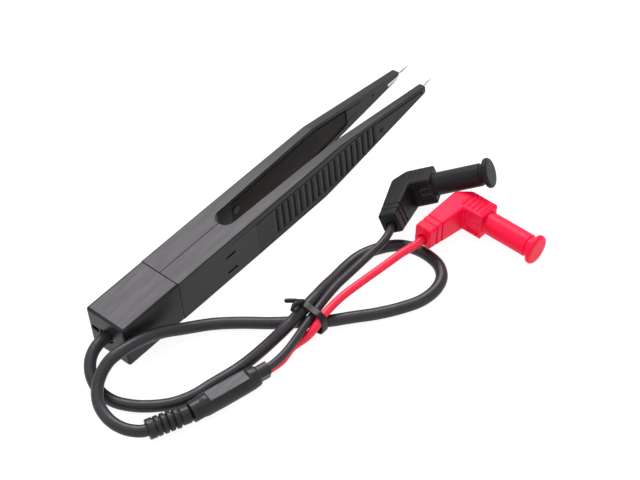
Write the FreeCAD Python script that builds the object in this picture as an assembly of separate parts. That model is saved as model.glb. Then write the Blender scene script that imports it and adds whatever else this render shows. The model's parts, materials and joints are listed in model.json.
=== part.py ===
import FreeCAD, Part
import math
import os
from FreeCAD import Placement, Rotation, Vector

# Tweezer-style component test probe with a coiled cable, a Y splitter and two
# right-angle shrouded banana plugs.  Millimetres.  +X runs from the rear cap to
# the needle tips, +Y to the left arm, +Z up off the bench.  The sizes below are
# measured from the rear face; ORIGIN_X moves them to the origin, which lies in
# the middle of the rear cap's flat underside.
ORIGIN_X = 13.3

# Tweezer body
HALF_W = 9.0
BODY_H = 18.0
WALL = 1.6
CAP_L = 26.65
CAP_EDGE_R = 0.9
SHELL_END_X = 62.0
SLOT_HALF = 3.95
SLOT_CENTRE_X = 59.65
TONGUE_L = 4.0
TONGUE_GAP = 0.05

# Arm roots: a round knuckle in a seat, where the moulding bends
HINGE_X = 61.0
HINGE_Y = 6.5
KNUCKLE_R = 2.0
SEAT_R = 2.08
NECK_HALF = 1.3
ARM_START_X = 62.35

# Arm outline seen from above (left arm) and from the side
ARM_OUTER = [(ARM_START_X, 9.0), (109.5, 8.8), (157.2, 7.95), (158.0, 7.3)]
ARM_INNER = [(158.0, 5.75), (157.4, 5.3), (110.0, 5.3), (ARM_START_X, 4.0)]
ARM_SIDE = [(ARM_START_X, 0.0), (100.0, 0.0), (156.9, 7.6), (157.9, 8.5), (157.9, 10.3),
            (157.0, 11.0), (109.5, BODY_H), (ARM_START_X, BODY_H)]

# Outer grip cover and its ribs
GRIP_SIDE = [(64.5, 0.9), (100.1, 0.9), (155.2, 8.3), (155.6, 9.3), (155.2, 10.4),
             (120.5, 15.5), (64.5, 15.5)]
GRIP_TOP_GAP = 0.25
GRIP_FLOOR = [(64.0, 7.8), (109.5, 7.65), (159.0, 7.05)]
RIB_FIRST_X = 75.3
RIB_PITCH = 3.07
RIB_COUNT = 18
RIB_GROOVE_W = 0.8
RIB_GROOVE_D = 0.55
RIB_TOP_Z = 14.2
MARK_X = 131.7
MARK_Z = 8.8

# Inner cover, screw, pin and contact strip
INNER_SIDE = [(65.8, 2.4), (105.0, 2.4), (128.4, 6.2), (128.4, 13.7), (112.0, 16.3), (65.8, 16.3)]
INNER_SET_BACK = 0.35
INNER_T = 0.8
INNER_TOP_GAP = 1.2
CHANNEL_D = 0.5
CHANNELS = [[(128.0, 12.7), (137.0, 11.5), (137.0, 11.9), (128.0, 13.2)],
            [(128.0, 7.5), (133.5, 8.2), (133.5, 8.5), (128.0, 7.9)]]
SCREW_X = 68.5
SCREW_Z = 11.3
PIN_X = 142.9
PIN_Z = 9.9
BLADE_T = 0.4
BLADE_Z0 = 7.75
BLADE_Z1 = 8.9
NEEDLE_START = Vector(151.8, 6.25, 9.4)
NEEDLE_TIP = Vector(163.2, 5.65, 9.4)
NEEDLE_R = 0.45
NEEDLE_POINT_L = 3.0

# Cable, leads, splitter
CABLE_R = 2.15
LEAD_R = 1.45
EXIT_Y = 0.5
EXIT_Z = 9.0
GROMMET_R = 3.1
CABLE_END_X = 15.0
RELIEF_START = Vector(-17.7, -35.5, 4.2)
RELIEF_END = Vector(-3.7, -41.85, 4.2)
SPLIT_END = Vector(25.7, -49.3, 4.2)
RELIEF_R = 2.8
RING_R = 3.55
FIRST_RING_W = 2.6
RING_START = 2.95
RING_PITCH = 2.2
RING_W = 1.6
RING_COUNT = 4
RELIEF_NECK = (11.8, 14.8)
RELIEF_NECK_R = 3.2
SPLIT_R = 3.65
LEAD_STEP = 1.55
LEAD_LEAN = 22.0
LEAD_IN_SPLITTER = 6.0
NOZZLE_START = 26.2
NOZZLE_R = 3.3
NOZZLE_HALF_W = 2.35
FACET_START = 6.7
FACET_END = 22.6
FACET_H = 3.25
CABLE_IN_RELIEF = 12.0

CABLE_PATH = [
    (0.0, EXIT_Y, EXIT_Z),
    (-5.0, 0.3, 8.8), (-9.7, -1.4, 7.8), (-13.5, -5.0, 5.8), (-15.4, -10.0, 3.4),
    (-15.2, -16.5, 2.3), (-13.0, -22.2, 2.2), (-8.7, -28.3, 2.2), (-3.3, -33.2, 2.2),
    (3.0, -36.2, 2.2), (10.5, -37.8, 2.2), (21.6, -40.3, 2.4), (33.3, -42.4, 4.6),
    (42.7, -43.7, 7.2), (50.3, -43.5, 7.9), (57.5, -42.6, 7.3), (64.5, -41.0, 5.6),
    (71.0, -39.6, 3.6), (77.5, -38.5, 2.4), (84.0, -38.8, 2.2), (91.2, -41.8, 2.2),
    (96.3, -46.2, 2.2), (98.7, -52.0, 2.2), (98.9, -58.2, 2.2), (97.4, -63.8, 2.2),
    (94.1, -67.7, 2.2), (88.8, -69.7, 2.2), (82.0, -69.2, 2.2), (74.9, -65.8, 2.2),
    (68.3, -61.4, 2.3), (60.9, -55.7, 2.9), (54.0, -50.3, 3.4), (48.2, -43.5, 3.45),
    (42.6, -36.0, 2.7), (36.0, -26.8, 2.4), (30.0, -20.4, 2.8), (21.5, -15.2, 4.6),
    (12.5, -12.3, 8.4), (4.5, -11.65, 11.6), (-2.0, -11.15, 12.9), (-9.0, -10.3, 12.2),
    (-16.2, -12.0, 9.2), (-21.0, -16.6, 6.9), (-22.9, -22.5, 5.4), (-22.8, -27.0, 4.8),
    (-21.2, -31.6, 4.35)]

BLACK_LEAD_PATH = [
    (31.6, -50.4, 5.9), (38.9, -49.6, 6.4), (45.2, -48.4, 7.0), (51.0, -47.3, 7.3),
    (57.5, -46.4, 8.0), (65.0, -45.9, 8.9), (72.8, -46.3, 9.8), (80.4, -46.8, 10.9),
    (87.4, -47.0, 11.6)]
RED_LEAD_PATH = [
    (32.0, -49.6, 2.7), (38.6, -48.6, 2.9), (44.6, -50.3, 4.3), (47.8, -51.0, 6.2),
    (51.0, -50.6, 7.3), (58.0, -50.0, 7.7), (64.5, -50.4, 8.3), (70.5, -51.6, 9.1),
    (79.2, -53.6, 10.4), (88.4, -55.4, 11.3)]

# Twist tie: a flat ribbon around the four strands, its ends twisted together
TIE_X = 51.0
TIE_W = 2.6
TIE_T = 0.5
TIE_TAIL_R = 0.8
TIE_RING = [(-41.0, 7.9), (-41.65, 9.5), (-43.5, 10.2), (-47.3, 9.75), (-50.6, 9.2), (-52.1, 8.0),
            (-52.25, 6.0), (-52.15, 3.6), (-51.3, 1.7), (-49.3, 1.0), (-44.5, 1.0), (-42.0, 1.8),
            (-41.3, 3.6), (-41.0, 5.8)]
TIE_TAILS = [
    [(51.0, -42.4, 10.8), (49.8, -42.0, 11.7), (48.6, -41.0, 12.3), (47.2, -39.2, 12.3)],
    [(51.4, -42.9, 11.0), (49.6, -42.9, 11.9), (47.6, -42.6, 12.4), (45.8, -43.2, 11.8)]]

# Right-angle banana plug, in its own frame: +X from the lead to the elbow,
# -Y along the shroud, +Z out of the flat face, origin at the middle of the elbow
PLUG_HALF_T = 5.35
ELBOW_R = 2.6
UNDERSIDE = (-5.0, 2.4)
BOOT_X = -22.2
PIVOT_X = -21.2
PLUG_PLAN = [(BOOT_X, 3.2), (0.3, 3.5), (4.6, -1.3), (4.6, -12.0), (-4.6, -12.0),
             (-4.6, -4.3), (BOOT_X, -3.4)]
BOOT_GROOVES = (-18.6, -15.8)
SHROUD_R = 4.1
SHROUD_BORE_R = 3.3
SHROUD_ROOT = 7.0
SHROUD_ROOT_R = 3.9
SHROUD_STEP = 12.0
SHROUD_END = 29.5
PIN_ROOT = 2.5
PIN_END = 28.5
PIN_CORE_R = 1.6
PIN_R = 2.0
CAP_TUBE_L = 16.0
CAP_TUBE_R = 3.27
CAP_BORE_R = 2.3
CAP_NECK_R = (3.7, 3.85)
FLANGE_R = 5.4
FLANGE_L = 1.9
CAP_FACE = 33.2
PLUGS = {
    "black": (Vector(115.34, -33.58, 6.25), Rotation(28.1, 10.9, -21.3)),
    "red": (Vector(120.3, -55.2, 7.7), Rotation(2.0, 6.2, 3.4))}


def box(x0, y0, z0, x1, y1, z1):
    return Part.makeBox(x1 - x0, y1 - y0, z1 - z0, Vector(x0, y0, z0))


def cyl(radius, start, end):
    axis = end - start
    return Part.makeCylinder(radius, axis.Length, start, axis)


def prism(points, direction):
    return Part.Face(Part.makePolygon(points + points[:1])).extrude(direction)


def plan_prism(points, z0=-2.0, z1=20.0):
    return prism([Vector(x, y, z0) for x, y in points], Vector(0, 0, z1 - z0))


def side_prism(points, y0=-12.0, y1=12.0):
    return prism([Vector(x, y0, z) for x, z in points], Vector(0, y1 - y0, 0))


def fillet_where(shape, radius, test):
    edges = [edge for edge in shape.Edges if test(edge)]
    return shape.makeFillet(radius, edges)


def along(edge, axis):
    first = edge.valueAt(edge.FirstParameter)
    last = edge.valueAt(edge.LastParameter)
    direction = last - first
    return abs(abs(direction.dot(axis)) - direction.Length) < 1e-6


def on_line(points, x):
    for (x0, y0), (x1, y1) in zip(points, points[1:]):
        if x0 <= x <= x1:
            return y0 + (y1 - y0) * (x - x0) / (x1 - x0)
    return points[-1][1]


def slopes(vectors, closed, start, end):
    # Direction of travel at each point, weighted by the spacing on either side
    count = len(vectors)
    found = []
    for index, point in enumerate(vectors):
        back = vectors[index - 1] if index or closed else None
        ahead = vectors[(index + 1) % count] if index + 1 < count or closed else None
        if back is None:
            found.append(start if start is not None else (ahead - point).normalize())
        elif ahead is None:
            found.append(end if end is not None else (point - back).normalize())
        else:
            before = (point - back).Length
            after = (ahead - point).Length
            blend = (point - back) * (after / before) + (ahead - point) * (before / after)
            found.append(blend * (1.0 / (before + after)))
    return found


def smooth_spans(points, closed=False, start=None, end=None):
    # Cubic spans through the points that share their direction at each point
    vectors = [Vector(*point) for point in points]
    directions = slopes(vectors, closed, start, end)
    spans = []
    for index in range(len(vectors) if closed else len(vectors) - 1):
        following = (index + 1) % len(vectors)
        low, high = vectors[index], vectors[following]
        reach = (high - low).Length / 3.0
        span = Part.BezierCurve()
        span.setPoles([low, low + directions[index] * reach, high - directions[following] * reach, high])
        spans.append(span.toShape())
    return spans


def sweep(spans, radius):
    first = spans[0]
    at = first.valueAt(first.FirstParameter)
    profile = Part.Wire(Part.makeCircle(radius, at, first.tangentAt(first.FirstParameter)))
    return Part.Wire(spans).makePipeShell([profile], True, False)


def revolve(profile, start, direction):
    # profile is (distance along the axis, radius) pairs, closed back to the axis
    points = [Vector(profile[0][0], 0, 0)]
    points += [Vector(along_axis, radius, 0) for along_axis, radius in profile]
    points += [Vector(profile[-1][0], 0, 0)]
    face = Part.Face(Part.makePolygon(points + points[:1]))
    solid = face.revolve(Vector(0, 0, 0), Vector(1, 0, 0), 360)
    solid.Placement = Placement(start, Rotation(Vector(1, 0, 0), direction))
    return solid


# ---- tweezer body -------------------------------------------------------

def make_rear_cap():
    outer = box(0, -HALF_W, 0, CAP_L, HALF_W, BODY_H)
    outer = fillet_where(outer, CAP_EDGE_R, lambda e: e.BoundBox.XMin < CAP_L - 0.1)
    hollow = box(2.2, -HALF_W + WALL, WALL, CAP_L + 1, HALF_W - WALL, BODY_H - WALL)
    exit_bore = cyl(GROMMET_R, Vector(-1, EXIT_Y, EXIT_Z), Vector(3, EXIT_Y, EXIT_Z))
    vent = box(-1, 4.3, 8.2, 3, 7.6, 10.2)
    return outer.cut(hollow).cut(exit_bore).cut(vent)


def make_grommet():
    body = cyl(GROMMET_R, Vector(0.6, EXIT_Y, EXIT_Z), Vector(2.2, EXIT_Y, EXIT_Z))
    flange = cyl(GROMMET_R + 1.0, Vector(2.2, EXIT_Y, EXIT_Z), Vector(3.6, EXIT_Y, EXIT_Z))
    bore = cyl(CABLE_R, Vector(0, EXIT_Y, EXIT_Z), Vector(5, EXIT_Y, EXIT_Z))
    return body.fuse(flange).cut(bore).removeSplitter()


def make_clamp():
    block = box(8.0, EXIT_Y - 4.0, WALL, 12.5, EXIT_Y + 4.0, EXIT_Z + 3.6)
    bore = cyl(CABLE_R, Vector(7, EXIT_Y, EXIT_Z), Vector(14, EXIT_Y, EXIT_Z))
    return block.cut(bore)


def slot_cutter():
    rounded = Part.makeCylinder(SLOT_HALF, 24, Vector(SLOT_CENTRE_X, 0, -3))
    return rounded.fuse(box(SLOT_CENTRE_X, -SLOT_HALF, -3, 80, SLOT_HALF, 21))


def make_body_shell():
    outer = box(CAP_L, 0, 0, SHELL_END_X, HALF_W, BODY_H)
    outer = fillet_where(outer, 0.8, lambda e: along(e, Vector(1, 0, 0)) and e.BoundBox.YMin > 1)
    tongue = box(CAP_L - TONGUE_L, 0, WALL + TONGUE_GAP, CAP_L + 2, HALF_W - WALL - TONGUE_GAP,
                 BODY_H - WALL - TONGUE_GAP)
    tongue_hollow = box(CAP_L - 9, -1, WALL + 1.3, CAP_L + 3, HALF_W - WALL - 1.3, BODY_H - WALL - 1.3)
    hollow = box(CAP_L + 1.8, -1, WALL, 53.6, HALF_W - WALL, BODY_H - WALL)
    seat = Part.makeCylinder(SEAT_R, 24, Vector(HINGE_X, HINGE_Y, -3))
    shell = outer.fuse(tongue).cut(tongue_hollow).cut(hollow).cut(slot_cutter()).cut(seat)
    for z in (4.0, 11.3):
        shell = shell.cut(box(49.0, HALF_W - 1.1, z - 0.5, 54.0, HALF_W + 1, z + 0.5))
    shell = shell.cut(box(52.6, HALF_W - 0.35, 15.3, SHELL_END_X + 1, HALF_W + 1, 15.55))
    return shell.removeSplitter()


def make_core_wire():
    points = [(CABLE_END_X + 0.1, EXIT_Y + 0.8, 9.0), (22.0, 1.8, 9.0), (34.0, 3.4, 9.2), (50.0, 5.4, 8.8)]
    return sweep(smooth_spans(points), 0.6)


# ---- arms ---------------------------------------------------------------

def make_arm_blank():
    blank = plan_prism(ARM_OUTER + ARM_INNER).common(side_prism(ARM_SIDE))
    blank = fillet_where(blank, 0.6, lambda e: abs(e.BoundBox.XMin - ARM_START_X) < 1e-3
                         and abs(e.BoundBox.XMax - 109.5) < 10 and e.BoundBox.YMin > 8.7)
    neck = box(HINGE_X, HINGE_Y - NECK_HALF, 0, ARM_START_X + 0.5, HINGE_Y + NECK_HALF, BODY_H)
    knuckle = Part.makeCylinder(KNUCKLE_R, BODY_H, Vector(HINGE_X, HINGE_Y, 0))
    return blank.fuse(neck).fuse(knuckle).removeSplitter()


def grip_zone(top_gap):
    side = [(x, z - top_gap if z > 9.5 else z) for x, z in GRIP_SIDE]
    plan = GRIP_FLOOR + [(159.0, 12.0), (64.0, 12.0)]
    return side_prism(side).common(plan_prism(plan))


def inner_y(x):
    return on_line([(ARM_START_X, 4.0), (110.0, 5.3), (160.0, 5.3)], x)


def inner_band(near, far):
    stations = [(ARM_START_X, inner_y(ARM_START_X)), (110.0, 5.3), (158.0, 5.3)]
    outer = [(x, y + far) for x, y in stations]
    inner = [(x, y + near) for x, y in reversed(stations)]
    return plan_prism(outer + inner)


def inner_zone(near, far, top_gap):
    side = [(x, z - top_gap if z > 9.5 else z) for x, z in INNER_SIDE]
    return inner_band(near, far).common(side_prism(side))


def make_blade():
    floor = INNER_SET_BACK + INNER_T
    path = [(70.0, inner_y(70.0) + floor), (110.0, 5.3 + floor), (146.0, 5.3 + floor),
            (151.5, 5.3), (157.0, 5.3)]
    back = [(x, y + BLADE_T) for x, y in reversed(path)]
    return plan_prism(path + back, BLADE_Z0, BLADE_Z1)


def make_needle():
    axis = (NEEDLE_TIP - NEEDLE_START).normalize()
    shoulder = NEEDLE_TIP - axis * NEEDLE_POINT_L
    point = Part.makeCone(NEEDLE_R, 0.12, NEEDLE_POINT_L, shoulder, axis)
    return cyl(NEEDLE_R, NEEDLE_START, shoulder).fuse(point)


def make_cover_screw():
    face = inner_y(SCREW_X) + INNER_SET_BACK
    head = cyl(1.5, Vector(SCREW_X, face - 0.25, SCREW_Z), Vector(SCREW_X, face, SCREW_Z))
    shank = cyl(0.7, Vector(SCREW_X, face - 0.1, SCREW_Z), Vector(SCREW_X, face + 1.9, SCREW_Z))
    drive = box(SCREW_X - 1.0, face - 0.5, SCREW_Z - 0.15, SCREW_X + 1.0, face - 0.12, SCREW_Z + 0.15)
    hole = cyl(0.7, Vector(SCREW_X, 3, SCREW_Z), Vector(SCREW_X, 9, SCREW_Z))
    cover = inner_zone(INNER_SET_BACK, INNER_SET_BACK + INNER_T, 0).cut(hole)
    return head.fuse(shank).cut(drive).cut(cover)


def make_cover_pin():
    return cyl(0.65, Vector(PIN_X, 5.7, PIN_Z), Vector(PIN_X, 7.0, PIN_Z))


def make_arm_frame(blade, needle, screw):
    frame = make_arm_blank()
    frame = frame.cut(grip_zone(0))
    frame = frame.cut(inner_zone(-2.0, INNER_SET_BACK + INNER_T, 0))
    for channel in CHANNELS:
        frame = frame.cut(side_prism(channel).common(inner_band(-2.0, CHANNEL_D)))
    frame = frame.cut(blade).cut(needle).cut(screw)
    return frame.cut(cyl(0.65, Vector(PIN_X, 4, PIN_Z), Vector(PIN_X, 7.0, PIN_Z)))


def make_grip_cover():
    cover = grip_zone(GRIP_TOP_GAP).common(plan_prism(ARM_OUTER + [(158.0, 0.0), (ARM_START_X, 0.0)]))
    for index in range(RIB_COUNT):
        x = RIB_FIRST_X + index * RIB_PITCH
        low = max(3.5, on_line([(60.0, 0.9), (100.1, 0.9), (155.2, 8.3)], x) + 0.6)
        face = on_line(ARM_OUTER, x)
        cover = cover.cut(box(x - RIB_GROOVE_W / 2, face - RIB_GROOVE_D, low,
                              x + RIB_GROOVE_W / 2, face + 1, RIB_TOP_Z))
    face = on_line(ARM_OUTER, MARK_X)
    cover = cover.cut(box(MARK_X - 1.2, face - 0.25, MARK_Z - 0.25, MARK_X + 1.2, face + 1, MARK_Z + 0.25))
    return cover.cut(box(MARK_X - 0.25, face - 0.25, MARK_Z - 1.2, MARK_X + 0.25, face + 1, MARK_Z + 1.2))


def make_inner_cover(screw):
    return inner_zone(INNER_SET_BACK, INNER_SET_BACK + INNER_T, INNER_TOP_GAP).cut(screw)


# ---- cable, splitter, leads, tie ----------------------------------------

def make_main_cable():
    relief_axis = (RELIEF_END - RELIEF_START).normalize()
    points = CABLE_PATH + [(RELIEF_START.x, RELIEF_START.y, RELIEF_START.z)]
    loop = smooth_spans(points, False, Vector(-1, 0, 0), relief_axis)
    inside_cap = Part.makeLine(Vector(CABLE_END_X, EXIT_Y, EXIT_Z), Vector(0, EXIT_Y, EXIT_Z))
    inside_relief = Part.makeLine(RELIEF_START, RELIEF_START + relief_axis * CABLE_IN_RELIEF)
    return sweep([inside_cap] + loop + [inside_relief], CABLE_R)


def make_strain_relief():
    axis = RELIEF_END - RELIEF_START
    rings = [(0.0, FIRST_RING_W)]
    rings += [(RING_START + index * RING_PITCH, RING_W) for index in range(RING_COUNT)]
    profile = []
    for start, width in rings:
        profile += [(start, RELIEF_R), (start + 0.1, RING_R), (start + width, RING_R),
                    (start + width + 0.1, RELIEF_R)]
    near, far = RELIEF_NECK
    profile += [(near, RELIEF_R), (near + 0.1, RELIEF_NECK_R), (far, RELIEF_NECK_R),
                (far + 0.1, RELIEF_R), (axis.Length, RELIEF_R)]
    bore = cyl(CABLE_R, RELIEF_START - axis * 0.2, RELIEF_START + axis.normalize() * CABLE_IN_RELIEF)
    return revolve(profile, RELIEF_START, RELIEF_END - RELIEF_START).cut(bore)


def splitter_turn():
    # X along the splitter, Z from the red lead to the black one
    axis = (SPLIT_END - RELIEF_END).normalize()
    lean = Rotation(axis, LEAD_LEAN)
    return Rotation(axis, Vector(0, 0, 0), lean.multVec(Vector(0, 0, 1)), "XZY")


def lead_starts():
    turn = splitter_turn()
    axis = turn.multVec(Vector(1, 0, 0))
    rise = turn.multVec(Vector(0, 0, LEAD_STEP))
    base = SPLIT_END - axis * LEAD_IN_SPLITTER
    return axis, base + rise, base - rise


def make_lead(name, path):
    axis, high, low = lead_starts()
    start = high if name == "black" else low
    elbow, turn = PLUGS[name]
    lead_dir = turn.multVec(Vector(1, 0, 0))
    pivot = elbow + turn.multVec(Vector(PIVOT_X, 0, 0))
    nozzle = start + axis * LEAD_IN_SPLITTER
    before = pivot - lead_dir * 4.5
    points = [(nozzle.x, nozzle.y, nozzle.z)] + path + [(p.x, p.y, p.z) for p in (before, pivot)]
    outside = smooth_spans(points, False, axis, lead_dir)
    lead = sweep([Part.makeLine(start, nozzle)] + outside, LEAD_R)
    return lead.fuse(Part.makeSphere(LEAD_R, pivot))


def make_splitter_body():
    axis, high, low = lead_starts()
    length = (SPLIT_END - RELIEF_END).Length
    profile = [(0.0, SPLIT_R), (3.6, SPLIT_R), (5.2, 3.95), (12.0, 4.05), (20.0, 4.0),
               (23.4, 3.9), (25.6, 3.65), (NOZZLE_START, NOZZLE_R), (length, NOZZLE_R)]
    body = revolve(profile, RELIEF_END, axis)
    for half_turn in (0, 180):
        flat = box(NOZZLE_START, NOZZLE_HALF_W, -6.0, length + 1.0, 6.0, 6.0)
        flat.Placement = Placement(RELIEF_END, splitter_turn() * Rotation(Vector(1, 0, 0), half_turn))
        body = body.cut(flat)
    facet = box(FACET_START, -6.0, FACET_H, FACET_END, 6.0, 6.0)
    facet.Placement = Placement(RELIEF_END, Rotation(axis, Vector(0, 0, 0), Vector(0, 0, 1), "XZY"))
    body = body.cut(facet)
    joint = revolve([(-4.0, SPLIT_R + 1.0), (0.0, SPLIT_R + 1.0)], RELIEF_END, RELIEF_END - RELIEF_START)
    body = body.cut(joint)
    for start in (high, low):
        body = body.cut(cyl(LEAD_R, start, start + axis * (LEAD_IN_SPLITTER + 1.0)))
    return body


def outset(points, distance):
    # Counter-clockwise closed outline moved outwards, point by point
    moved = []
    for index, (y, z) in enumerate(points):
        before = points[index - 1]
        after = points[(index + 1) % len(points)]
        run = Vector(after[0] - before[0], after[1] - before[1], 0).normalize()
        moved.append((y + run.y * distance, z - run.x * distance))
    return moved


def ring_plate(points):
    spans = smooth_spans([(TIE_X - TIE_W / 2, y, z) for y, z in points], True)
    return Part.Face(Part.Wire(spans)).extrude(Vector(TIE_W, 0, 0))


def make_twist_tie():
    tie = ring_plate(outset(TIE_RING, TIE_T)).cut(ring_plate(TIE_RING))
    for tail in TIE_TAILS:
        tie = tie.fuse(sweep(smooth_spans(tail), TIE_TAIL_R))
        tie = tie.fuse(Part.makeSphere(TIE_TAIL_R, Vector(*tail[-1])))
    return tie


# ---- banana plugs -------------------------------------------------------

def make_plug_body():
    body = prism([Vector(x, y, -PLUG_HALF_T) for x, y in PLUG_PLAN], Vector(0, 0, 2 * PLUG_HALF_T))
    crease, rise = UNDERSIDE
    wedge = [(crease, -PLUG_HALF_T), (BOOT_X, rise - PLUG_HALF_T), (BOOT_X, -PLUG_HALF_T)]
    body = body.cut(side_prism(wedge))
    upright = Vector(0, 0, 1)
    body = fillet_where(body, ELBOW_R, lambda e: along(e, upright) and
                        e.BoundBox.XMin > 0 and e.BoundBox.YMin > -2)
    body = fillet_where(body, 0.9, lambda e: not along(e, upright) and
                        (e.BoundBox.XLength > 0.01 or abs(e.BoundBox.XMin - crease) > 0.01))
    for groove_x in BOOT_GROOVES:
        ring = box(groove_x - 0.35, -6, -7, groove_x + 0.35, 6, 7)
        core = box(groove_x - 1, -2.9, -PLUG_HALF_T + 0.5, groove_x + 1, 2.8, PLUG_HALF_T - 0.5)
        body = body.cut(ring.cut(core))
    for index in range(5):
        y = -3.0 - 1.9 * index
        for side in (-1, 1):
            face = side * (PLUG_HALF_T - 0.4)
            body = body.cut(box(-3.4, y - 0.35, min(face, face + side * 2), 3.6, y + 0.35,
                                max(face, face + side * 2)))
    body = body.cut(box(-6, -11.0, -3.9, -3.9, -5.6, 3.9))
    body = body.cut(cyl(SHROUD_ROOT_R, Vector(0, -SHROUD_ROOT, 0), Vector(0, -20, 0)))
    body = body.cut(cyl(PIN_CORE_R, Vector(0, -PIN_ROOT, 0), Vector(0, -20, 0)))
    socket = Part.makeSphere(LEAD_R + 0.08, Vector(PIVOT_X, 0, 0))
    mouth = Part.makeCone(LEAD_R + 0.08, LEAD_R + 1.1, 2.0, Vector(PIVOT_X, 0, 0), Vector(-1, 0, 0))
    return body.cut(socket).cut(mouth)


def make_shroud():
    root = cyl(SHROUD_ROOT_R, Vector(0, -SHROUD_ROOT, 0), Vector(0, -SHROUD_STEP, 0))
    tube = root.fuse(cyl(SHROUD_R, Vector(0, -SHROUD_STEP, 0), Vector(0, -SHROUD_END, 0)))
    bore = cyl(SHROUD_BORE_R, Vector(0, -SHROUD_ROOT - 2.0, 0), Vector(0, -40, 0))
    core = cyl(PIN_CORE_R, Vector(0, 0, 0), Vector(0, -40, 0))
    return tube.cut(bore).cut(core)


def make_pin():
    core = cyl(PIN_CORE_R, Vector(0, -PIN_ROOT, 0), Vector(0, -PIN_END + 1.2, 0))
    nose = Part.makeCone(PIN_CORE_R, 1.0, 1.2, Vector(0, -PIN_END + 1.2, 0), Vector(0, -1, 0))
    collar = cyl(PIN_R, Vector(0, -SHROUD_ROOT - 2.0, 0), Vector(0, -SHROUD_ROOT - 3.4, 0))
    return core.fuse(nose).fuse(collar).removeSplitter()


def make_pin_spring():
    start = SHROUD_ROOT + 3.4
    end = PIN_END - 1.6
    tube = cyl(PIN_R, Vector(0, -start, 0), Vector(0, -end, 0))
    tube = tube.cut(cyl(PIN_CORE_R, Vector(0, 0, 0), Vector(0, -40, 0)))
    for index in range(3):
        slit = box(-0.25, -end + 1.5, -3, 0.25, -start - 1.5, 3)
        slit.rotate(Vector(0, 0, 0), Vector(0, 1, 0), 60 * index)
        tube = tube.cut(slit)
    return tube


def make_cap():
    tube = cyl(CAP_TUBE_R, Vector(0, -SHROUD_END + CAP_TUBE_L, 0), Vector(0, -SHROUD_END, 0))
    neck_l = CAP_FACE - FLANGE_L - SHROUD_END
    neck = Part.makeCone(CAP_NECK_R[0], CAP_NECK_R[1], neck_l, Vector(0, -SHROUD_END, 0), Vector(0, -1, 0))
    flange = cyl(FLANGE_R, Vector(0, -CAP_FACE + FLANGE_L, 0), Vector(0, -CAP_FACE, 0))
    flange = flange.makeFillet(0.5, [e for e in flange.Edges if abs(e.BoundBox.YMin + CAP_FACE) < 1e-3
                                     and e.BoundBox.YLength < 1e-3])
    bore = cyl(CAP_BORE_R, Vector(0, 0, 0), Vector(0, -CAP_FACE + 2.6, 0))
    return tube.fuse(neck).fuse(flange).cut(bore).removeSplitter()


# ---- assembly -----------------------------------------------------------

def mirrored(shape):
    return shape.mirror(Vector(0, 0, 0), Vector(0, 1, 0))


def arm_parts():
    blade = make_blade()
    needle = make_needle()
    screw = make_cover_screw()
    return {
        "body_shell": make_body_shell(), "core_wire": make_core_wire(),
        "arm_frame": make_arm_frame(blade, needle, screw), "grip_cover": make_grip_cover(),
        "inner_cover": make_inner_cover(screw), "contact_blade": blade, "needle": needle,
        "cover_screw": screw, "cover_pin": make_cover_pin()}


def plug_parts():
    return {
        "plug_body": make_plug_body(), "shroud": make_shroud(), "pin": make_pin(),
        "pin_spring": make_pin_spring(), "cap": make_cap()}


def export(name, shape):
    solids = shape.Solids
    shape = solids[0] if len(solids) == 1 else shape
    shape = shape.copy()
    shape.translate(Vector(-ORIGIN_X, 0, 0))
    shape.exportStep("parts/" + name + ".step")
    print(name, "solids", len(solids), "valid", shape.isValid(), "volume", round(shape.Volume, 2))


def main():
    os.makedirs("parts", exist_ok=True)
    export("rear_cap", make_rear_cap())
    export("cable_grommet", make_grommet())
    export("cable_clamp", make_clamp())
    export("main_cable", make_main_cable())
    export("strain_relief", make_strain_relief())
    export("splitter_body", make_splitter_body())
    export("black_lead", make_lead("black", BLACK_LEAD_PATH))
    export("red_lead", make_lead("red", RED_LEAD_PATH))
    export("twist_tie", make_twist_tie())
    for name, shape in arm_parts().items():
        export("left_" + name, shape)
        export("right_" + name, mirrored(shape))
    for name, shape in plug_parts().items():
        for colour, (elbow, turn) in PLUGS.items():
            placed = shape.copy()
            placed.Placement = Placement(elbow, turn)
            export(colour + "_" + name, placed)


main()
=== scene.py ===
import json
import math

import bmesh
import bpy
from mathutils import Matrix, Vector


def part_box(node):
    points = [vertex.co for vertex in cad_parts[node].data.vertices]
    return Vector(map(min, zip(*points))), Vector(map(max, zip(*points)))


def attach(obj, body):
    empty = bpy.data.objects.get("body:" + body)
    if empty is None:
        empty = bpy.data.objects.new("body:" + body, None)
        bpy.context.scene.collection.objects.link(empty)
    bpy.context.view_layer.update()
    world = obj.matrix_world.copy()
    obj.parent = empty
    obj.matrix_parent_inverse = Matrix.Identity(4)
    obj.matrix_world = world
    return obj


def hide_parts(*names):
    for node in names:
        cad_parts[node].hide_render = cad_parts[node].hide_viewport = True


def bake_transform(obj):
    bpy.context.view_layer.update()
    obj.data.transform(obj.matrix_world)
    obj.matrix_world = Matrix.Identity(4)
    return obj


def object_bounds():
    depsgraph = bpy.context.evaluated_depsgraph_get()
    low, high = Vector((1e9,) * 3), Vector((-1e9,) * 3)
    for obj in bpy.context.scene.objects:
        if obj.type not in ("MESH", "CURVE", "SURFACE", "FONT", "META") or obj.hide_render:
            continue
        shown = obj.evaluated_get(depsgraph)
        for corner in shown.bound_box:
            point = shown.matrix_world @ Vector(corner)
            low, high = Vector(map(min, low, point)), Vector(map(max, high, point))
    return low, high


# Test tweezers with a coiled cable, a Y splitter and two shrouded banana plugs.
# Sizes and outlines are in millimetres, along the tweezers from their rear face;
# at() turns them into the frame's metres.  The rest takes its place from the CAD nodes.

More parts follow.
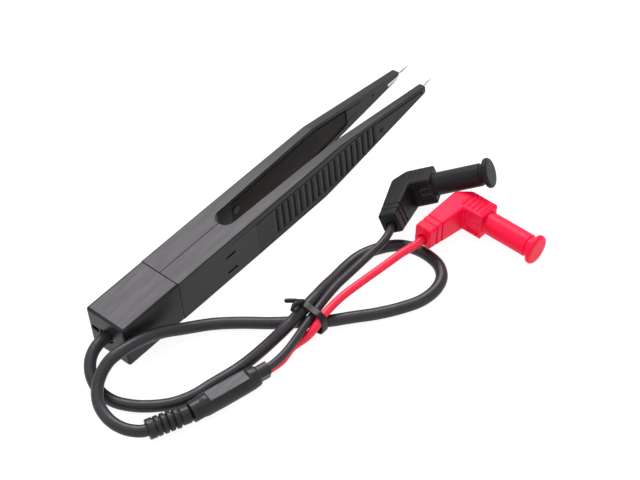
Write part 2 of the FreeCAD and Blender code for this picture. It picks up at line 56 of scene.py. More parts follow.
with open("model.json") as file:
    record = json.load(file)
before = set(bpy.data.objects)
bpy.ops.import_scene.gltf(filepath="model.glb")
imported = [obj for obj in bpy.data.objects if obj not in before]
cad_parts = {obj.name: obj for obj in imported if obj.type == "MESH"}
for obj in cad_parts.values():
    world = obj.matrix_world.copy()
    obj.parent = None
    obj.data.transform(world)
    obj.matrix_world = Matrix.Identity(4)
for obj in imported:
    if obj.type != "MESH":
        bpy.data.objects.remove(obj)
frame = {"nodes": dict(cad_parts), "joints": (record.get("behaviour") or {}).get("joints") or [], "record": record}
cad_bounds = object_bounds()
NODES = frame["nodes"]
JOINTS = {joint["name"]: joint for joint in frame["joints"]}
SLOT_OF = {part["node"]: part["material_slot"] for part in frame["record"]["subparts"]}
MM = 0.001
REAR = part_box("rear_cap")[0].x
SEAM = (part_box("rear_cap")[1].x - REAR) / MM
HALF_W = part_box("rear_cap")[1].y / MM
BODY_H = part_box("rear_cap")[1].z / MM
HINGE = (JOINTS["left_arm_squeeze"]["pos_m"][0] - REAR) / MM

# Side moulding: outline from above (left side), the planes that slope its tip, its edges
# (the least angle in radians that gets a bevel), and the cuts across the stretch beside the hinge
SLOT_CENTRE = 59.65
SLOT_R = 3.95
ARM_START = 62.35
TOP_KINK = 109.5
LOW_KINK = 100.0
TIP_PLAN = [(157.4, 5.3), (157.85, 5.5), (158.0, 5.9), (158.0, 7.1), (157.8, 7.6), (157.2, 7.95)]
TOP_SLOPE = (7.0, 47.5)
LOW_SLOPE = (7.6, -56.9)
TIP_CHAMFERS = [((157.0, 11.0), (0.7, 0.9)), ((156.9, 7.6), (0.9, -1.0))]
OUTER_LINE = [(SEAM, 9.0), (ARM_START, 9.0), (TOP_KINK, 8.8), (157.2, 7.95)]
BEVELS = {"outer": 0.55, "inner": 0.3, "split": 0.22}
BEVEL_CREASE = 0.6
BEND_CUTS = 10

# Grip cover in the arm's outer face: its outline from the side, the floor of its recess, the
# gap above it, which doubles towards the tip, then its grooves and the "+" mark
GRIP_LOW = [(64.5, 0.9), (100.1, 0.9), (155.2, 8.3)]
GRIP_HIGH = [(64.5, 15.5), (120.5, 15.5), (155.2, 10.4)]
GRIP_TIP = (155.6, 9.3)
GRIP_FLOOR = [(64.0, 7.8), (TOP_KINK, 7.65), (159.0, 7.05)]
GRIP_SPAN = (6.0, 12.0)
GRIP_EDGE = 0.3
GRIP_TOP_GAP = 0.3
GRIP_TOP_FALL = (105.0, 140.0)
GRIP_SEAT = 0.02
GRIP_COLUMNS, GRIP_ROWS = 620, 44
RIB_FIRST, RIB_PITCH, RIB_LAST = 75.3, 3.07, 17
RIB_LOW, RIB_HIGH = 3.3, 14.3
RIB_MARGIN = 0.8
RIB_END_FADE = (-0.2, 0.35)
RIB_GROOVE = (0.6, 0.72)
RIB_CROWN = 0.2
MARK = (131.7, 8.8)
MARK_REACH = 1.3
MARK_HALF_W = 0.3
MARK_DEPTH = 0.4

# Recess for the inner cover, thin channels ahead of it, and small openings; a span is how far
# a cutter reaches from the middle plane
INNER_LINE = [(ARM_START, 4.0), (110.0, 5.3), (160.0, 5.3)]
INNER_SIDE = [(65.8, 2.4), (105.0, 2.4), (128.4, 6.2), (128.4, 13.7), (112.0, 16.3), (65.8, 16.3)]
INNER_SPAN = (2.0, 9.0)
INNER_DEPTH = 1.15
CHANNELS = [[(128.0, 12.7), (137.0, 11.5), (137.0, 11.9), (128.0, 13.2)],
            [(128.0, 7.5), (133.5, 8.2), (133.5, 8.5), (128.0, 7.9)]]
CHANNEL_DEPTH = 0.5
SNAP_WINDOWS = [(49.0, 54.0, 3.5, 4.5), (49.0, 54.0, 10.8, 11.8)]
SNAP_DEPTH = 1.1
PANEL_LINE = (52.6, 65.0, 15.2, 15.5)
PANEL_LINE_DEPTH = 0.35
PIN_HOLE_SPAN = (4.0, 7.0)
BLADE_SLOT = (151.4, 158.5)
BLADE_SLOT_SPAN = (4.0, 5.72)

# Soft mouldings made from CAD nodes: voxel size of the skin and number of smoothing passes
CABLE_SET = {"main_cable": (0.3, 3), "strain_relief": (0.18, 4), "splitter_body": (0.2, 5),
             "twist_tie": (0.14, 3), "cable_grommet": (0.16, 3), "rear_cap": (0.24, 5)}
LEAD_SKIN = (0.2, 3)
ELBOW_SKIN = (0.16, 5)

# Plug sleeves, turned about the plug's axis: (distance, radius, rounding of the corner)
ELBOW_REACH = 21.2
SLEEVE_SIDES = 72
SHROUD_PROFILE = [
    (7.0, 3.3, 0), (7.0, 3.9, 0), (11.9, 3.9, 0), (12.0, 4.1, 0), (29.2, 4.1, 0.25),
    (29.5, 3.9, 0.1), (29.5, 3.3, 0), (9.2, 3.3, 0), (9.2, 1.65, 0)]
CAP_PROFILE = [
    (13.5, 2.3, 0), (13.5, 3.27, 0.2), (29.45, 3.27, 0), (29.55, 3.7, 0.12), (31.1, 3.85, 0.2),
    (31.3, 4.6, 0.2), (31.35, 5.25, 0.3), (31.9, 5.4, 0.4), (32.6, 5.4, 0.5), (33.1, 4.9, 0.5),
    (33.2, 3.6, 0.4), (33.2, 0.02, 0)]

# Edges sharper than this many degrees are shaded sharp
SHARP = {"cad": 32, "moulding": 28, "grip": 55, "skin": 60, "sleeve": 40, "stage": 60}

# Stage, in metres: flat radius, radius of the curve up, top of the wall
STAGE_FLAT, STAGE_CURVE, STAGE_TOP = 3.0, 1.2, 3.5
STAGE_HUB = 0.02
STAGE_SIDES = 96
ARC_STEPS = 12
PAPER_TONE = (0.16, 0.16, 0.16)
PAPER_GLOW = 0.91

# Softboxes: heading and elevation in degrees, distance and size in metres, power in watts
SOFTBOXES = {"back_softbox": (47.0, 53.0, 1.6, (1.1, 0.55), 31.0),
             "left_softbox": (150.0, 55.0, 1.5, (0.8, 0.8), 5.0),
             "front_softbox": (250.0, 72.0, 1.6, (1.1, 1.1), 7.0)}
SOFTBOX_TINT = (1.0, 0.965, 1.0)
ROOM_TINT = (0.97, 0.97, 1.0, 1.0)
ROOM_LIGHT = 0.24

# Camera: place, then heading, downward pitch and roll in degrees
CAMERA_PLACE = (-280.8, -408.7, 563.1)
CAMERA_HEADING, CAMERA_PITCH, CAMERA_ROLL = 46.82, 46.65, -6.87
CAMERA_LENS = 123.4
SENSOR_WIDTH = 36.0


def at(x, y, z):
    return Vector((REAR + x * MM, y * MM, z * MM))


def line_at(points, x):
    for (x0, y0), (x1, y1) in zip(points, points[1:]):
        if x <= x1:
            return y0 + (y1 - y0) * (x - x0) / (x1 - x0)
    return points[-1][1]


def step_up(value, low, high):
    share = min(1.0, max(0.0, (value - low) / (high - low)))
    return share * share * (3 - 2 * share)


# ---------------------------------------------------------------- materials

class Graph:
    """A node material built by short calls."""

    def __init__(self, name):
        self.material = bpy.data.materials.new(name)
        self.material.use_nodes = True
        self.tree = self.material.node_tree
        self.tree.nodes.clear()
        output = self.add("ShaderNodeOutputMaterial")
        self.shader = self.add("ShaderNodeBsdfPrincipled")
        self.join(self.shader, "BSDF", output, "Surface")
        self.coords = self.add("ShaderNodeTexCoord")

    def add(self, kind, **values):
        node = self.tree.nodes.new(kind)
        for key, value in values.items():
            setattr(node, key, value)
        return node

    def join(self, source, output, target, socket):
        self.tree.links.new(source.outputs[output], target.inputs[socket])

    def noise(self, size_mm, detail=4.0, stretch=(1, 1, 1), rough=0.55):
        mapping = self.add("ShaderNodeMapping")
        mapping.inputs["Scale"].default_value = stretch
        self.join(self.coords, "Object", mapping, "Vector")
        texture = self.add("ShaderNodeTexNoise")
        texture.inputs["Scale"].default_value = 1.0 / (size_mm * MM)
        texture.inputs["Detail"].default_value = detail
        texture.inputs["Roughness"].default_value = rough
        self.join(mapping, "Vector", texture, "Vector")
        return texture

    def remap(self, source, output, low, high, first, last):
        remap = self.add("ShaderNodeMapRange")
        limits = {"From Min": low, "From Max": high, "To Min": first, "To Max": last}
        for socket, value in limits.items():
            remap.inputs[socket].default_value = value
        self.join(source, output, remap, "Value")
        return remap

    def times(self, first, output_a, second, output_b):
        product = self.add("ShaderNodeMath", operation="MULTIPLY")
        self.join(first, output_a, product, 0)
        self.join(second, output_b, product, 1)
        return product

    def rounded(self, radius_mm, samples):
        bevel = self.add("ShaderNodeBevel", samples=samples)
        bevel.inputs["Radius"].default_value = radius_mm * MM
        return bevel

    def edge_mask(self, strength, reach_mm):
        """Strength at sharp edges, where a rounded normal parts from the true one, else zero."""
        geometry = self.add("ShaderNodeNewGeometry")
        agreement = self.add("ShaderNodeVectorMath", operation="DOT_PRODUCT")
        self.join(self.rounded(reach_mm, 8), "Normal", agreement, 0)
        self.join(geometry, "Normal", agreement, 1)
        return self.remap(agreement, "Value", 0.985, 0.9, 0.0, strength)

    def mix(self, factor, output, first, second):
        mix = self.add("ShaderNodeMix", data_type="RGBA")
        self.join(factor, output, mix, "Factor")
        for socket, value in ((6, first), (7, second)):
            if isinstance(value, tuple):
                mix.inputs[socket].default_value = (*value, 1.0)
            else:
                self.tree.links.new(value.outputs[2], mix.inputs[socket])
        return mix

    def colour(self, mix):
        self.tree.links.new(mix.outputs[2], self.shader.inputs["Base Color"])

    def bump(self, source, height_mm, strength, after=None):
        bump = self.add("ShaderNodeBump")
        bump.inputs["Strength"].default_value = strength
        bump.inputs["Distance"].default_value = height_mm * MM
        self.join(source, "Fac", bump, "Height")
        if after is not None:
            self.join(after, "Normal", bump, "Normal")
        return bump


def plastic(name, dark, light, rough, grain_mm, grain_height, edge, edge_wear_and_highlight, specular, edge_mm=0.4):
    """Moulded plastic or rubber, mottled from dark to light, with grain, scuffs and paler edges.

    rough is a range; edge and edge_mm are the strength and reach of the paler edges, which are partly edge wear
    and partly a painted highlight where rounded edges would catch the light."""
    g = Graph(name)
    blotch = g.noise(size_mm=9.0, detail=5.0)
    fine = g.noise(size_mm=0.8, detail=6.0)
    scuff = g.noise(size_mm=1.6, detail=8.0, stretch=(0.12, 1.0, 1.0), rough=0.6)
    base = g.mix(g.remap(blotch, "Fac", 0.35, 0.65, 0.0, 1.0), "Result", dark, light)
    breakup = g.remap(fine, "Fac", 0.36, 0.6, 0.0, 1.0)
    # Paler colour along sharp edges: edge wear on the housing parts, a painted highlight on the plugs' rounded
    # edges
    edge_wear_and_highlight_mask = g.times(g.edge_mask(edge, edge_mm), "Result", breakup, "Result")
    g.colour(g.mix(edge_wear_and_highlight_mask, "Value", base, edge_wear_and_highlight))
    g.join(g.remap(scuff, "Fac", 0.3, 0.75, *rough), "Result", g.shader, "Roughness")
    g.shader.inputs["Specular IOR Level"].default_value = specular
    grain = g.noise(grain_mm, detail=3.0)
    grained = g.bump(grain, grain_height, strength=0.6, after=g.rounded(0.15, samples=4))
    scuffed = g.bump(scuff, height_mm=0.002, strength=0.3, after=grained)
    g.join(scuffed, "Normal", g.shader, "Normal")
    return g.material


def metal(name, colour, rough, metallic=1.0):
    """Plated metal: brushed along its length, slightly stained."""
    g = Graph(name)
    stain = g.noise(size_mm=3.0, detail=5.0)
    brushed = g.noise(size_mm=0.15, detail=6.0, stretch=(0.05, 1.0, 1.0), rough=0.65)
    darker = tuple(channel * 0.7 for channel in colour)
    g.colour(g.mix(g.remap(stain, "Fac", 0.4, 0.7, 0.0, 1.0), "Result", colour, darker))
    g.shader.inputs["Metallic"].default_value = metallic
    g.join(g.remap(brushed, "Fac", 0.3, 0.7, *rough), "Result", g.shader, "Roughness")
    g.join(g.bump(brushed, height_mm=0.003, strength=0.5), "Normal", g.shader, "Normal")
    return g.material


def paper(name, colour, glow):
    """Matt white paper with a faint cloud in its tone."""
    g = Graph(name)
    dimmer = tuple(channel * 0.985 for channel in colour)
    g.colour(g.mix(g.remap(g.noise(120.0), "Fac", 0.3, 0.7, 0.0, 1.0), "Result", colour, dimmer))
    g.shader.inputs["Roughness"].default_value = 0.7
    g.shader.inputs["Specular IOR Level"].default_value = 0.1
    g.shader.inputs["Emission Color"].default_value = (1.0, 1.0, 1.0, 1.0)
    g.shader.inputs["Emission Strength"].default_value = glow
    return g.material


# Colours of the paler edges: the grey one is edge wear; the pale and the pink ones are painted highlights on the
# plugs' rounded edges
GREY_WEAR = (0.09, 0.088, 0.09)
PALE_PAINTED_HIGHLIGHT = (0.13, 0.13, 0.14)
PINK_PAINTED_HIGHLIGHT = (0.9, 0.1, 0.16)
PLASTICS = {
    "housing": ((0.0065, 0.0058, 0.0068), (0.011, 0.0098, 0.0118), (0.32, 0.42),
                0.22, 0.003, 0.5, GREY_WEAR, 0.23),
    "grip": ((0.006, 0.0056, 0.0056), (0.01, 0.0095, 0.0095), (0.38, 0.5),
             0.25, 0.005, 0.5, GREY_WEAR, 0.2),
    "inner_cover": ((0.014, 0.0105, 0.0065), (0.021, 0.016, 0.01), (0.5, 0.65),
                    0.25, 0.006, 0.3, GREY_WEAR, 0.16),
    "cable_jacket": ((0.014, 0.0128, 0.0155), (0.021, 0.0192, 0.023), (0.36, 0.48),
                     0.5, 0.006, 0.0, GREY_WEAR, 0.3),
    "splitter": ((0.0075, 0.0073, 0.008), (0.013, 0.0126, 0.014), (0.34, 0.46),
                 0.4, 0.006, 0.4, GREY_WEAR, 0.28),
    "red_jacket": ((0.7, 0.003, 0.032), (0.8, 0.006, 0.045), (0.36, 0.48),
                   0.5, 0.006, 0.0, PINK_PAINTED_HIGHLIGHT, 0.4),
    # The plugs' paler edges, reaching 0.7 mm, are painted highlights where their rounded edges would catch the
    # light
    "black_plug": ((0.0045, 0.0045, 0.0052), (0.008, 0.008, 0.0092), (0.4, 0.5),
                   0.3, 0.002, 0.5, PALE_PAINTED_HIGHLIGHT, 0.18, 0.7),
    "red_plug": ((0.72, 0.0006, 0.032), (0.82, 0.0012, 0.045), (0.38, 0.48),
                 0.3, 0.002, 0.4, PINK_PAINTED_HIGHLIGHT, 0.17, 0.7),
    "tie": ((0.004, 0.004, 0.004), (0.008, 0.008, 0.008), (0.34, 0.46),
            0.4, 0.003, 0.0, GREY_WEAR, 0.24)}
METALS = {
    "contact": ((0.78, 0.74, 0.64), (0.28, 0.48)),
    "needle": ((0.42, 0.37, 0.29), (0.35, 0.5), 0.6),
    "copper": ((0.75, 0.4, 0.22), (0.3, 0.45)),
    "hardware": ((0.1, 0.09, 0.08), (0.35, 0.55))}
MATERIALS = {name: plastic(name, *look) for name, look in PLASTICS.items()}
MATERIALS.update({name: metal(name, *look) for name, look in METALS.items()})


def dress_cad():
    for name, node in NODES.items():
        node.data.materials.clear()
        node.data.materials.append(MATERIALS[SLOT_OF[name]])
        node.data.shade_smooth()
        node.data.set_sharp_from_angle(angle=math.radians(SHARP["cad"]))


# ---------------------------------------------------------------- mesh helpers

def new_object(name, bm, material=None, sharp=SHARP["cad"]):
    mesh = bpy.data.meshes.new(name)
    bmesh.ops.recalc_face_normals(bm, faces=bm.faces)
    if bm.calc_volume(signed=True) < 0:
        bmesh.ops.reverse_faces(bm, faces=bm.faces)
    bm.to_mesh(mesh)
    bm.free()
    piece = bpy.data.objects.new(name, mesh)
    bpy.context.scene.collection.objects.link(piece)
    finish_surface(piece, material, sharp)
    return piece


def finish_surface(piece, material, sharp):
    piece.data.materials.clear()
    if material is not None:
        piece.data.materials.append(material)
    piece.data.shade_smooth()
    piece.data.set_sharp_from_angle(angle=math.radians(sharp))


def even_normals(piece):
    """Keeps broad flats flat beside small bevels."""
    weighted = piece.modifiers.new("even", "WEIGHTED_NORMAL")
    weighted.keep_sharp = True
    weighted.weight = 100
    apply_modifiers(piece)


def apply_modifiers(piece):
    bpy.context.view_layer.update()
    graph = bpy.context.evaluated_depsgraph_get()
    result = bpy.data.meshes.new_from_object(piece.evaluated_get(graph))
    piece.modifiers.clear()
    old = piece.data
    piece.data = result
    bpy.data.meshes.remove(old)


def stand_for(piece, body, nodes):
    """The piece rides on body and is shown in place of the CAD nodes."""
    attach(piece, body)
    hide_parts(*nodes)


def moulded(name, node, voxel_mm, passes):
    """The CAD node as a soft moulding: an even skin whose edges are rounded off."""
    bm = bmesh.new()
    bm.from_mesh(NODES[node].data)
    bmesh.ops.remove_doubles(bm, verts=bm.verts, dist=1e-7)
    piece = new_object(name, bm)
    skin = piece.modifiers.new("skin", "REMESH")
    skin.mode = "VOXEL"
    skin.voxel_size = voxel_mm * MM
    rounding = piece.modifiers.new("rounding", "SMOOTH")
    rounding.factor = 0.5
    rounding.iterations = passes
    apply_modifiers(piece)
    finish_surface(piece, MATERIALS[SLOT_OF[node]], SHARP["skin"])
    return piece


def turned(name, profile, matrix, material):
    """Piece turned about X: profile is (distance along X, radius) in millimetres."""
    bm = bmesh.new()
    rings = []
    for distance, radius in profile:
        ring = []
        for step in range(SLEEVE_SIDES):
            angle = 2 * math.pi * step / SLEEVE_SIDES
            local = Vector((distance, radius * math.cos(angle), radius * math.sin(angle))) * MM
            ring.append(bm.verts.new(matrix @ local))
        rings.append(ring)
    for low, high in zip(rings, rings[1:]):
        for step in range(SLEEVE_SIDES):
            following = (step + 1) % SLEEVE_SIDES
            bm.faces.new((low[step], low[following], high[following], high[step]))
    bm.faces.new(rings[0])
    bm.faces.new(list(reversed(rings[-1])))
    return new_object(name, bm, material, SHARP["sleeve"])


def rounded_profile(corners, steps=4):
    """Rounds the corners of a profile given as (distance, radius, rounding)."""
    points = []
    for index, (distance, radius, rounding) in enumerate(corners):
        if rounding == 0:
            points.append((distance, radius))
            continue
        here = Vector((distance, radius))
        back = Vector(corners[index - 1][:2]) - here
        ahead = Vector(corners[index + 1][:2]) - here
        reach = min(rounding, back.length * 0.45, ahead.length * 0.45)
        start = here + back.normalized() * reach
        end = here + ahead.normalized() * reach
        for step in range(steps + 1):
            share = step / steps
            points.append(tuple(start.lerp(here, share).lerp(here.lerp(end, share), share)))
    return points


def prism(corners, travel):
    bm = bmesh.new()
    face = bm.faces.new([bm.verts.new(corner) for corner in corners])
    copied = bmesh.ops.extrude_face_region(bm, geom=[face])["geom"]
    moved = [item for item in copied if isinstance(item, bmesh.types.BMVert)]
    bmesh.ops.translate(bm, verts=moved, vec=travel)
    return bm


def plan_prism(points, low, high, sign):
    return prism([at(x, sign * y, low) for x, y in points], Vector((0, 0, (high - low) * MM)))


def side_prism(points, low, high, sign):
    return prism([at(x, sign * low, z) for x, z in points], Vector((0, sign * (high - low) * MM, 0)))


def slice_off(bm, point, normal):
    """Cuts away what lies on the normal's side of a plane."""
    geometry = bm.verts[:] + bm.edges[:] + bm.faces[:]
    cut = bmesh.ops.bisect_plane(bm, geom=geometry, dist=1e-7, plane_co=point, plane_no=normal,
                                 clear_outer=True)
    edges = [item for item in cut["geom_cut"] if isinstance(item, bmesh.types.BMEdge)]
    bmesh.ops.holes_fill(bm, edges=edges)


def carve(piece, cutters):
    for bm in cutters:
        cutter = new_object("cutter", bm)
        cut = piece.modifiers.new("cut", "BOOLEAN")
        cut.operation = "DIFFERENCE"
        cut.solver = "MANIFOLD"
        cut.object = cutter
        apply_modifiers(piece)
        bpy.data.objects.remove(cutter)


# ---------------------------------------------------------------- tweezers

def moulding_outline():
    """One side from above: half of the slot's round end, the inner line, tip and outer line."""
    slot = []
    for step in range(ARC_STEPS + 1):
        angle = math.pi - math.pi / 2 * step / ARC_STEPS
        slot.append((SLOT_CENTRE + SLOT_R * math.cos(angle), SLOT_R * math.sin(angle)))
    back = [(TOP_KINK, OUTER_LINE[2][1]), (ARM_START, HALF_W), (SEAM, HALF_W), (SEAM, 0.0)]
    return slot + INNER_LINE[:2] + TIP_PLAN + back


def bevel_of(edge):
    """Which bevel an edge of the moulding gets, if any."""
    middle = (edge.verts[0].co + edge.verts[1].co) / 2
    x, y = (middle.x - REAR) / MM, abs(middle.y) / MM
    run = edge.verts[1].co - edge.verts[0].co
    at_seam = abs(x - SEAM) < 0.01
    at_middle = y < 0.1
    crosswise = abs(run.x) < 0.3 * run.length
    near_tip = x >= TIP_PLAN[0][0] - 5
    near_outside = y > line_at(OUTER_LINE, x) - 0.6
    if at_seam:
        return None if at_middle else "split"
    if crosswise and not near_tip:
        return None
    if at_middle:
        return "split"
    return "outer" if near_outside else "inner"


def moulding_blank(sign):
    bm = plan_prism(moulding_outline(), 0.0, BODY_H, sign)
    slice_off(bm, at(TOP_KINK, 0, BODY_H), Vector((TOP_SLOPE[0], 0, TOP_SLOPE[1])))
    slice_off(bm, at(LOW_KINK, 0, 0), Vector((LOW_SLOPE[0], 0, LOW_SLOPE[1])))
    for (x, z), (nx, nz) in TIP_CHAMFERS:
        slice_off(bm, at(x, 0, z), Vector((nx, 0, nz)))
    bmesh.ops.remove_doubles(bm, verts=bm.verts, dist=1e-7)
    bm.normal_update()
    for kind, width in BEVELS.items():
        chosen = [edge for edge in bm.edges if len(edge.link_faces) == 2
                  and edge.calc_face_angle(0) > BEVEL_CREASE and bevel_of(edge) == kind]
        bmesh.ops.bevel(bm, geom=chosen, offset=width * MM, segments=3, profile=0.5,
                        affect="EDGES", clamp_overlap=True)
    return bm


def inner_band(outline, depth, sign):
    """What lies inside outline, seen from the side, down to depth below the arm's inner face."""
    bm = side_prism(outline, *INNER_SPAN, sign)
    rise = (INNER_LINE[1][1] - INNER_LINE[0][1]) / (INNER_LINE[1][0] - INNER_LINE[0][0])
    slice_off(bm, at(ARM_START, sign * (INNER_LINE[0][1] + depth), 0), Vector((-rise, sign, 0)))
    slice_off(bm, at(ARM_START, sign * (INNER_LINE[1][1] + depth), 0), Vector((0, sign, 0)))
    return bm


def grip_recess(sign):
    outline = GRIP_LOW + [GRIP_TIP] + GRIP_HIGH[::-1]
    bm = side_prism(outline, *GRIP_SPAN, sign)
    fall = (GRIP_FLOOR[0][1] - GRIP_FLOOR[2][1]) / (GRIP_FLOOR[2][0] - GRIP_FLOOR[0][0])
    slice_off(bm, at(GRIP_FLOOR[0][0], sign * GRIP_FLOOR[0][1], 0), Vector((-fall, -sign, 0)))
    return bm


def window(x0, x1, z0, z1, low, high, sign):
    return side_prism([(x0, z0), (x1, z0), (x1, z1), (x0, z1)], low, high, sign)


def pin_hole(side, sign):
    low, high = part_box(side + "_cover_pin")
    x = ((low.x + high.x) / 2 - REAR) / MM
    z = (low.z + high.z) / 2 / MM
    radius = (high.z - low.z) / 2 / MM
    angles = [math.pi * step / 8 for step in range(16)]
    ring = [(x + radius * math.cos(angle), z + radius * math.sin(angle)) for angle in angles]
    return side_prism(ring, *PIN_HOLE_SPAN, sign)


def blade_slot(side, sign):
    low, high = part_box(side + "_contact_blade")
    return window(*BLADE_SLOT, low.z / MM, high.z / MM, *BLADE_SLOT_SPAN, sign)


def make_moulding(side, sign):
    """One side of the tweezers: handle half and arm in one springy piece."""
    piece = new_object(side + "_moulding", moulding_blank(sign))
    cuts = [grip_recess(sign), inner_band(INNER_SIDE, INNER_DEPTH, sign), pin_hole(side, sign),
            blade_slot(side, sign),
            window(*PANEL_LINE, HALF_W - PANEL_LINE_DEPTH, HALF_W + 1, sign)]
    cuts += [inner_band(channel, CHANNEL_DEPTH, sign) for channel in CHANNELS]
    cuts += [window(*snap, HALF_W - SNAP_DEPTH, HALF_W + 1, sign) for snap in SNAP_WINDOWS]
    carve(piece, cuts)
    bm = bmesh.new()
    bm.from_mesh(piece.data)
    for step in range(-BEND_CUTS, BEND_CUTS + 1):
        geometry = bm.verts[:] + bm.edges[:] + bm.faces[:]
        bmesh.ops.bisect_plane(bm, geom=geometry, dist=1e-7, plane_co=at(HINGE + step, 0, 0),
                               plane_no=(1, 0, 0))
    bm.to_mesh(piece.data)
    bm.free()
    finish_surface(piece, MATERIALS["housing"], SHARP["moulding"])
    even_normals(piece)
    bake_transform(piece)
    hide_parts(side + "_body_shell", side + "_arm_frame")


def grip_sink(x, z, low):
    """How far the grip cover's face is sunk at (x, z), in millimetres."""
    depth = 0.0
    index = round((x - RIB_FIRST) / RIB_PITCH)
    if 0 <= index <= RIB_LAST:
        offset = abs(x - (RIB_FIRST + index * RIB_PITCH))
        ends = step_up(min(z - max(RIB_LOW, low + RIB_MARGIN), RIB_HIGH - z), *RIB_END_FADE)
        half, deep = RIB_GROOVE
        groove = deep * math.sqrt(max(0.0, 1.0 - (offset / half) ** 2))
        crown = RIB_CROWN * (1.0 - (2 * offset / RIB_PITCH) ** 2)
        depth = ends * (groove + crown)
    arm = max(abs(x - MARK[0]), abs(z - MARK[1]))
    thin = min(abs(x - MARK[0]), abs(z - MARK[1]))
    return max(depth, MARK_DEPTH) if arm < MARK_REACH and thin < MARK_HALF_W else depth


def grip_column(bm, x, sign):
    """One upright row of points across the grip cover's face."""
    low, high = line_at(GRIP_LOW, x), line_at(GRIP_HIGH, x)
    high -= GRIP_TOP_GAP + GRIP_TOP_GAP * step_up(x, *GRIP_TOP_FALL)
    face = line_at(OUTER_LINE, x)
    column = []
    for row in range(GRIP_ROWS + 1):
        z = low + (high - low) * row / GRIP_ROWS
        rim = max(0.0, min(z - low, high - z, GRIP_LOW[2][0] - x))
        roll = GRIP_EDGE * (1.0 - min(1.0, rim / GRIP_EDGE)) ** 2
        column.append(bm.verts.new(at(x, sign * (face - grip_sink(x, z, low) - roll), z)))
    return column


def make_grip(side, sign):
    """Ribbed cover on the arm's outer face."""
    bm = bmesh.new()
    start, length = GRIP_LOW[0][0], GRIP_LOW[2][0] - GRIP_LOW[0][0]
    columns = []
    for step in range(GRIP_COLUMNS + 1):
        columns.append(grip_column(bm, start + length * step / GRIP_COLUMNS, sign))
    for left, right in zip(columns, columns[1:]):
        for row in range(GRIP_ROWS):
            bm.faces.new((left[row], right[row], right[row + 1], left[row + 1]))
    rim = [column[0] for column in columns] + columns[-1][1:]
    rim += [column[-1] for column in columns[-2::-1]] + columns[0][-2:0:-1]
    floor = []
    for vert in rim:
        depth = line_at(GRIP_FLOOR, (vert.co.x - REAR) / MM) + GRIP_SEAT
        floor.append(bm.verts.new((vert.co.x, sign * depth * MM, vert.co.z)))
    for index, vert in enumerate(rim):
        following = (index + 1) % len(rim)
        bm.faces.new((vert, rim[following], floor[following], floor[index]))
    bm.faces.new(floor)
    piece = new_object(side + "_grip", bm, MATERIALS["grip"], SHARP["grip"])
    stand_for(piece, side + "_arm", [side + "_grip_cover"])


# ---------------------------------------------------------------- cable set and plugs

def make_cable_set():
    """Cable, relief, splitter, tie and rear cap: soft mouldings that stay with the handle."""
    for node, skin in CABLE_SET.items():
        stand_for(moulded(node + "_skin", node, *skin), "handle", [node])


def plug_axes(colour):
    """Pivot point of a plug, its direction along the lead, and its rotation."""
    flex = JOINTS[colour + "_plug_flex"]
    up = Vector(flex["axis"]).normalized()
    back = -Vector(JOINTS[colour + "_cap_pull"]["axis"]).normalized()
    ahead = back.cross(up)
    return Vector(flex["pos_m"]), ahead, Matrix((ahead, back, up)).transposed()


def make_lead(colour):
    """Lead as a soft moulding, shown in place of the CAD lead."""
    piece = moulded(colour + "_lead_skin", colour + "_lead", *LEAD_SKIN)
    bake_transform(piece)
    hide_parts(colour + "_lead")


def make_elbow(colour):
    node = colour + "_plug_body"
    stand_for(moulded(colour + "_elbow", node, *ELBOW_SKIN), colour + "_plug", [node])


def make_sleeves(colour):
    """Shroud around the pin and the pull-off cap, both turned about the plug's axis."""
    pivot, ahead, turn = plug_axes(colour)
    along_shroud = Matrix(((0, 1, 0), (-1, 0, 0), (0, 0, 1))).to_4x4()
    elbow = Matrix.Translation(pivot + ahead * ELBOW_REACH * MM)
    matrix = elbow @ turn.to_4x4() @ along_shroud
    material = MATERIALS[colour + "_plug"]
    shroud = turned(colour + "_shroud_skin", rounded_profile(SHROUD_PROFILE), matrix, material)
    stand_for(shroud, colour + "_plug", [colour + "_shroud"])
    cap = turned(colour + "_cap_skin", rounded_profile(CAP_PROFILE), matrix, material)
    stand_for(cap, colour + "_cap", [colour + "_cap"])


# ---------------------------------------------------------------- stage, light, camera

def make_stage():
    """Round white floor that curves up into a backdrop."""
    profile = [(STAGE_HUB, 0.0), (STAGE_FLAT, 0.0)]
    for step in range(1, ARC_STEPS + 1):
        angle = math.pi / 2 * step / ARC_STEPS
        radius = STAGE_FLAT + STAGE_CURVE * math.sin(angle)
        profile.append((radius, STAGE_CURVE * (1 - math.cos(angle))))
    profile.append((STAGE_FLAT + STAGE_CURVE, STAGE_TOP))
    bm = bmesh.new()
    rings = []
    for radius, z in profile:
        ring = []
        for step in range(STAGE_SIDES):
            angle = 2 * math.pi * step / STAGE_SIDES
            place = (radius * math.cos(angle), radius * math.sin(angle), z + cad_bounds[0].z)
            ring.append(bm.verts.new(place))
        rings.append(ring)
    for low, high in zip(rings, rings[1:]):
        for step in range(STAGE_SIDES):
            following = (step + 1) % STAGE_SIDES
            bm.faces.new((low[step], low[following], high[following], high[step]))
    bm.faces.new(rings[0])
    material = paper("backdrop", PAPER_TONE, PAPER_GLOW)
    new_object("backdrop", bm, material, SHARP["stage"])


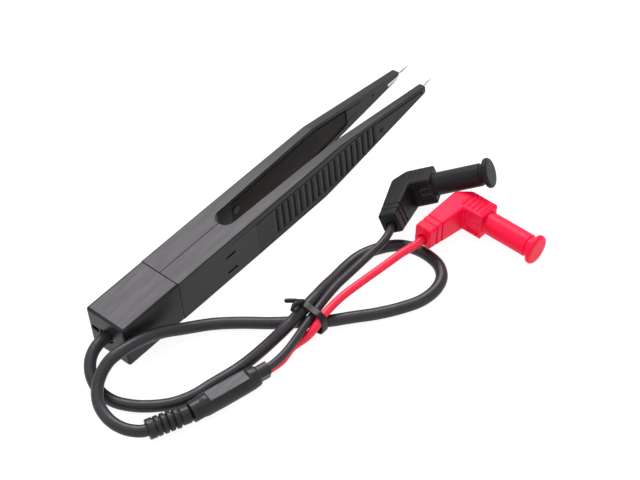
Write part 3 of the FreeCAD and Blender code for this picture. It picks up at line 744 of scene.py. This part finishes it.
def softbox(name, heading, elevation, distance, size, power):
    """Rectangular soft light aimed at the middle of the object from a heading and elevation."""
    light = bpy.data.lights.new(name, "AREA")
    light.shape = "RECTANGLE"
    light.size, light.size_y = size
    light.energy = power
    light.color = SOFTBOX_TINT
    box = bpy.data.objects.new(name, light)
    bpy.context.scene.collection.objects.link(box)
    middle = (cad_bounds[0] + cad_bounds[1]) / 2
    h, e = math.radians(heading), math.radians(elevation)
    away = Vector((math.cos(h) * math.cos(e), math.sin(h) * math.cos(e), math.sin(e)))
    box.location = middle + away * distance
    box.rotation_euler = away.to_track_quat("Z", "Y").to_euler()


def make_lights():
    for name, setting in SOFTBOXES.items():
        softbox(name, *setting)
    world = bpy.data.worlds.new("studio")
    world.use_nodes = True
    background = world.node_tree.nodes["Background"]
    background.inputs["Color"].default_value = ROOM_TINT
    background.inputs["Strength"].default_value = ROOM_LIGHT
    bpy.context.scene.world = world
    bpy.context.scene.view_settings.view_transform = "Standard"


def make_camera():
    heading = math.radians(CAMERA_HEADING)
    pitch = math.radians(CAMERA_PITCH)
    roll = math.radians(CAMERA_ROLL)
    outward = math.cos(pitch)
    ahead = Vector((math.cos(heading) * outward, math.sin(heading) * outward, -math.sin(pitch)))
    level = Vector((math.sin(heading), -math.cos(heading), 0))
    upright = level.cross(ahead)
    right = level * math.cos(roll) + upright * math.sin(roll)
    up = upright * math.cos(roll) - level * math.sin(roll)
    data = bpy.data.cameras.new("camera")
    data.sensor_width = SENSOR_WIDTH
    data.lens = CAMERA_LENS
    data.clip_end = 20.0
    camera = bpy.data.objects.new("camera", data)
    bpy.context.scene.collection.objects.link(camera)
    rotation = Matrix((right, up, -ahead)).transposed().to_4x4()
    camera.matrix_world = Matrix.Translation(at(*CAMERA_PLACE)) @ rotation
    bpy.context.scene.camera = camera


# ---------------------------------------------------------------- build

dress_cad()
for arm_side, arm_sign in (("left", 1.0), ("right", -1.0)):
    make_moulding(arm_side, arm_sign)
    make_grip(arm_side, arm_sign)
make_cable_set()
for plug_colour in ("black", "red"):
    make_lead(plug_colour)
    make_elbow(plug_colour)
    make_sleeves(plug_colour)
make_stage()
make_lights()
make_camera()
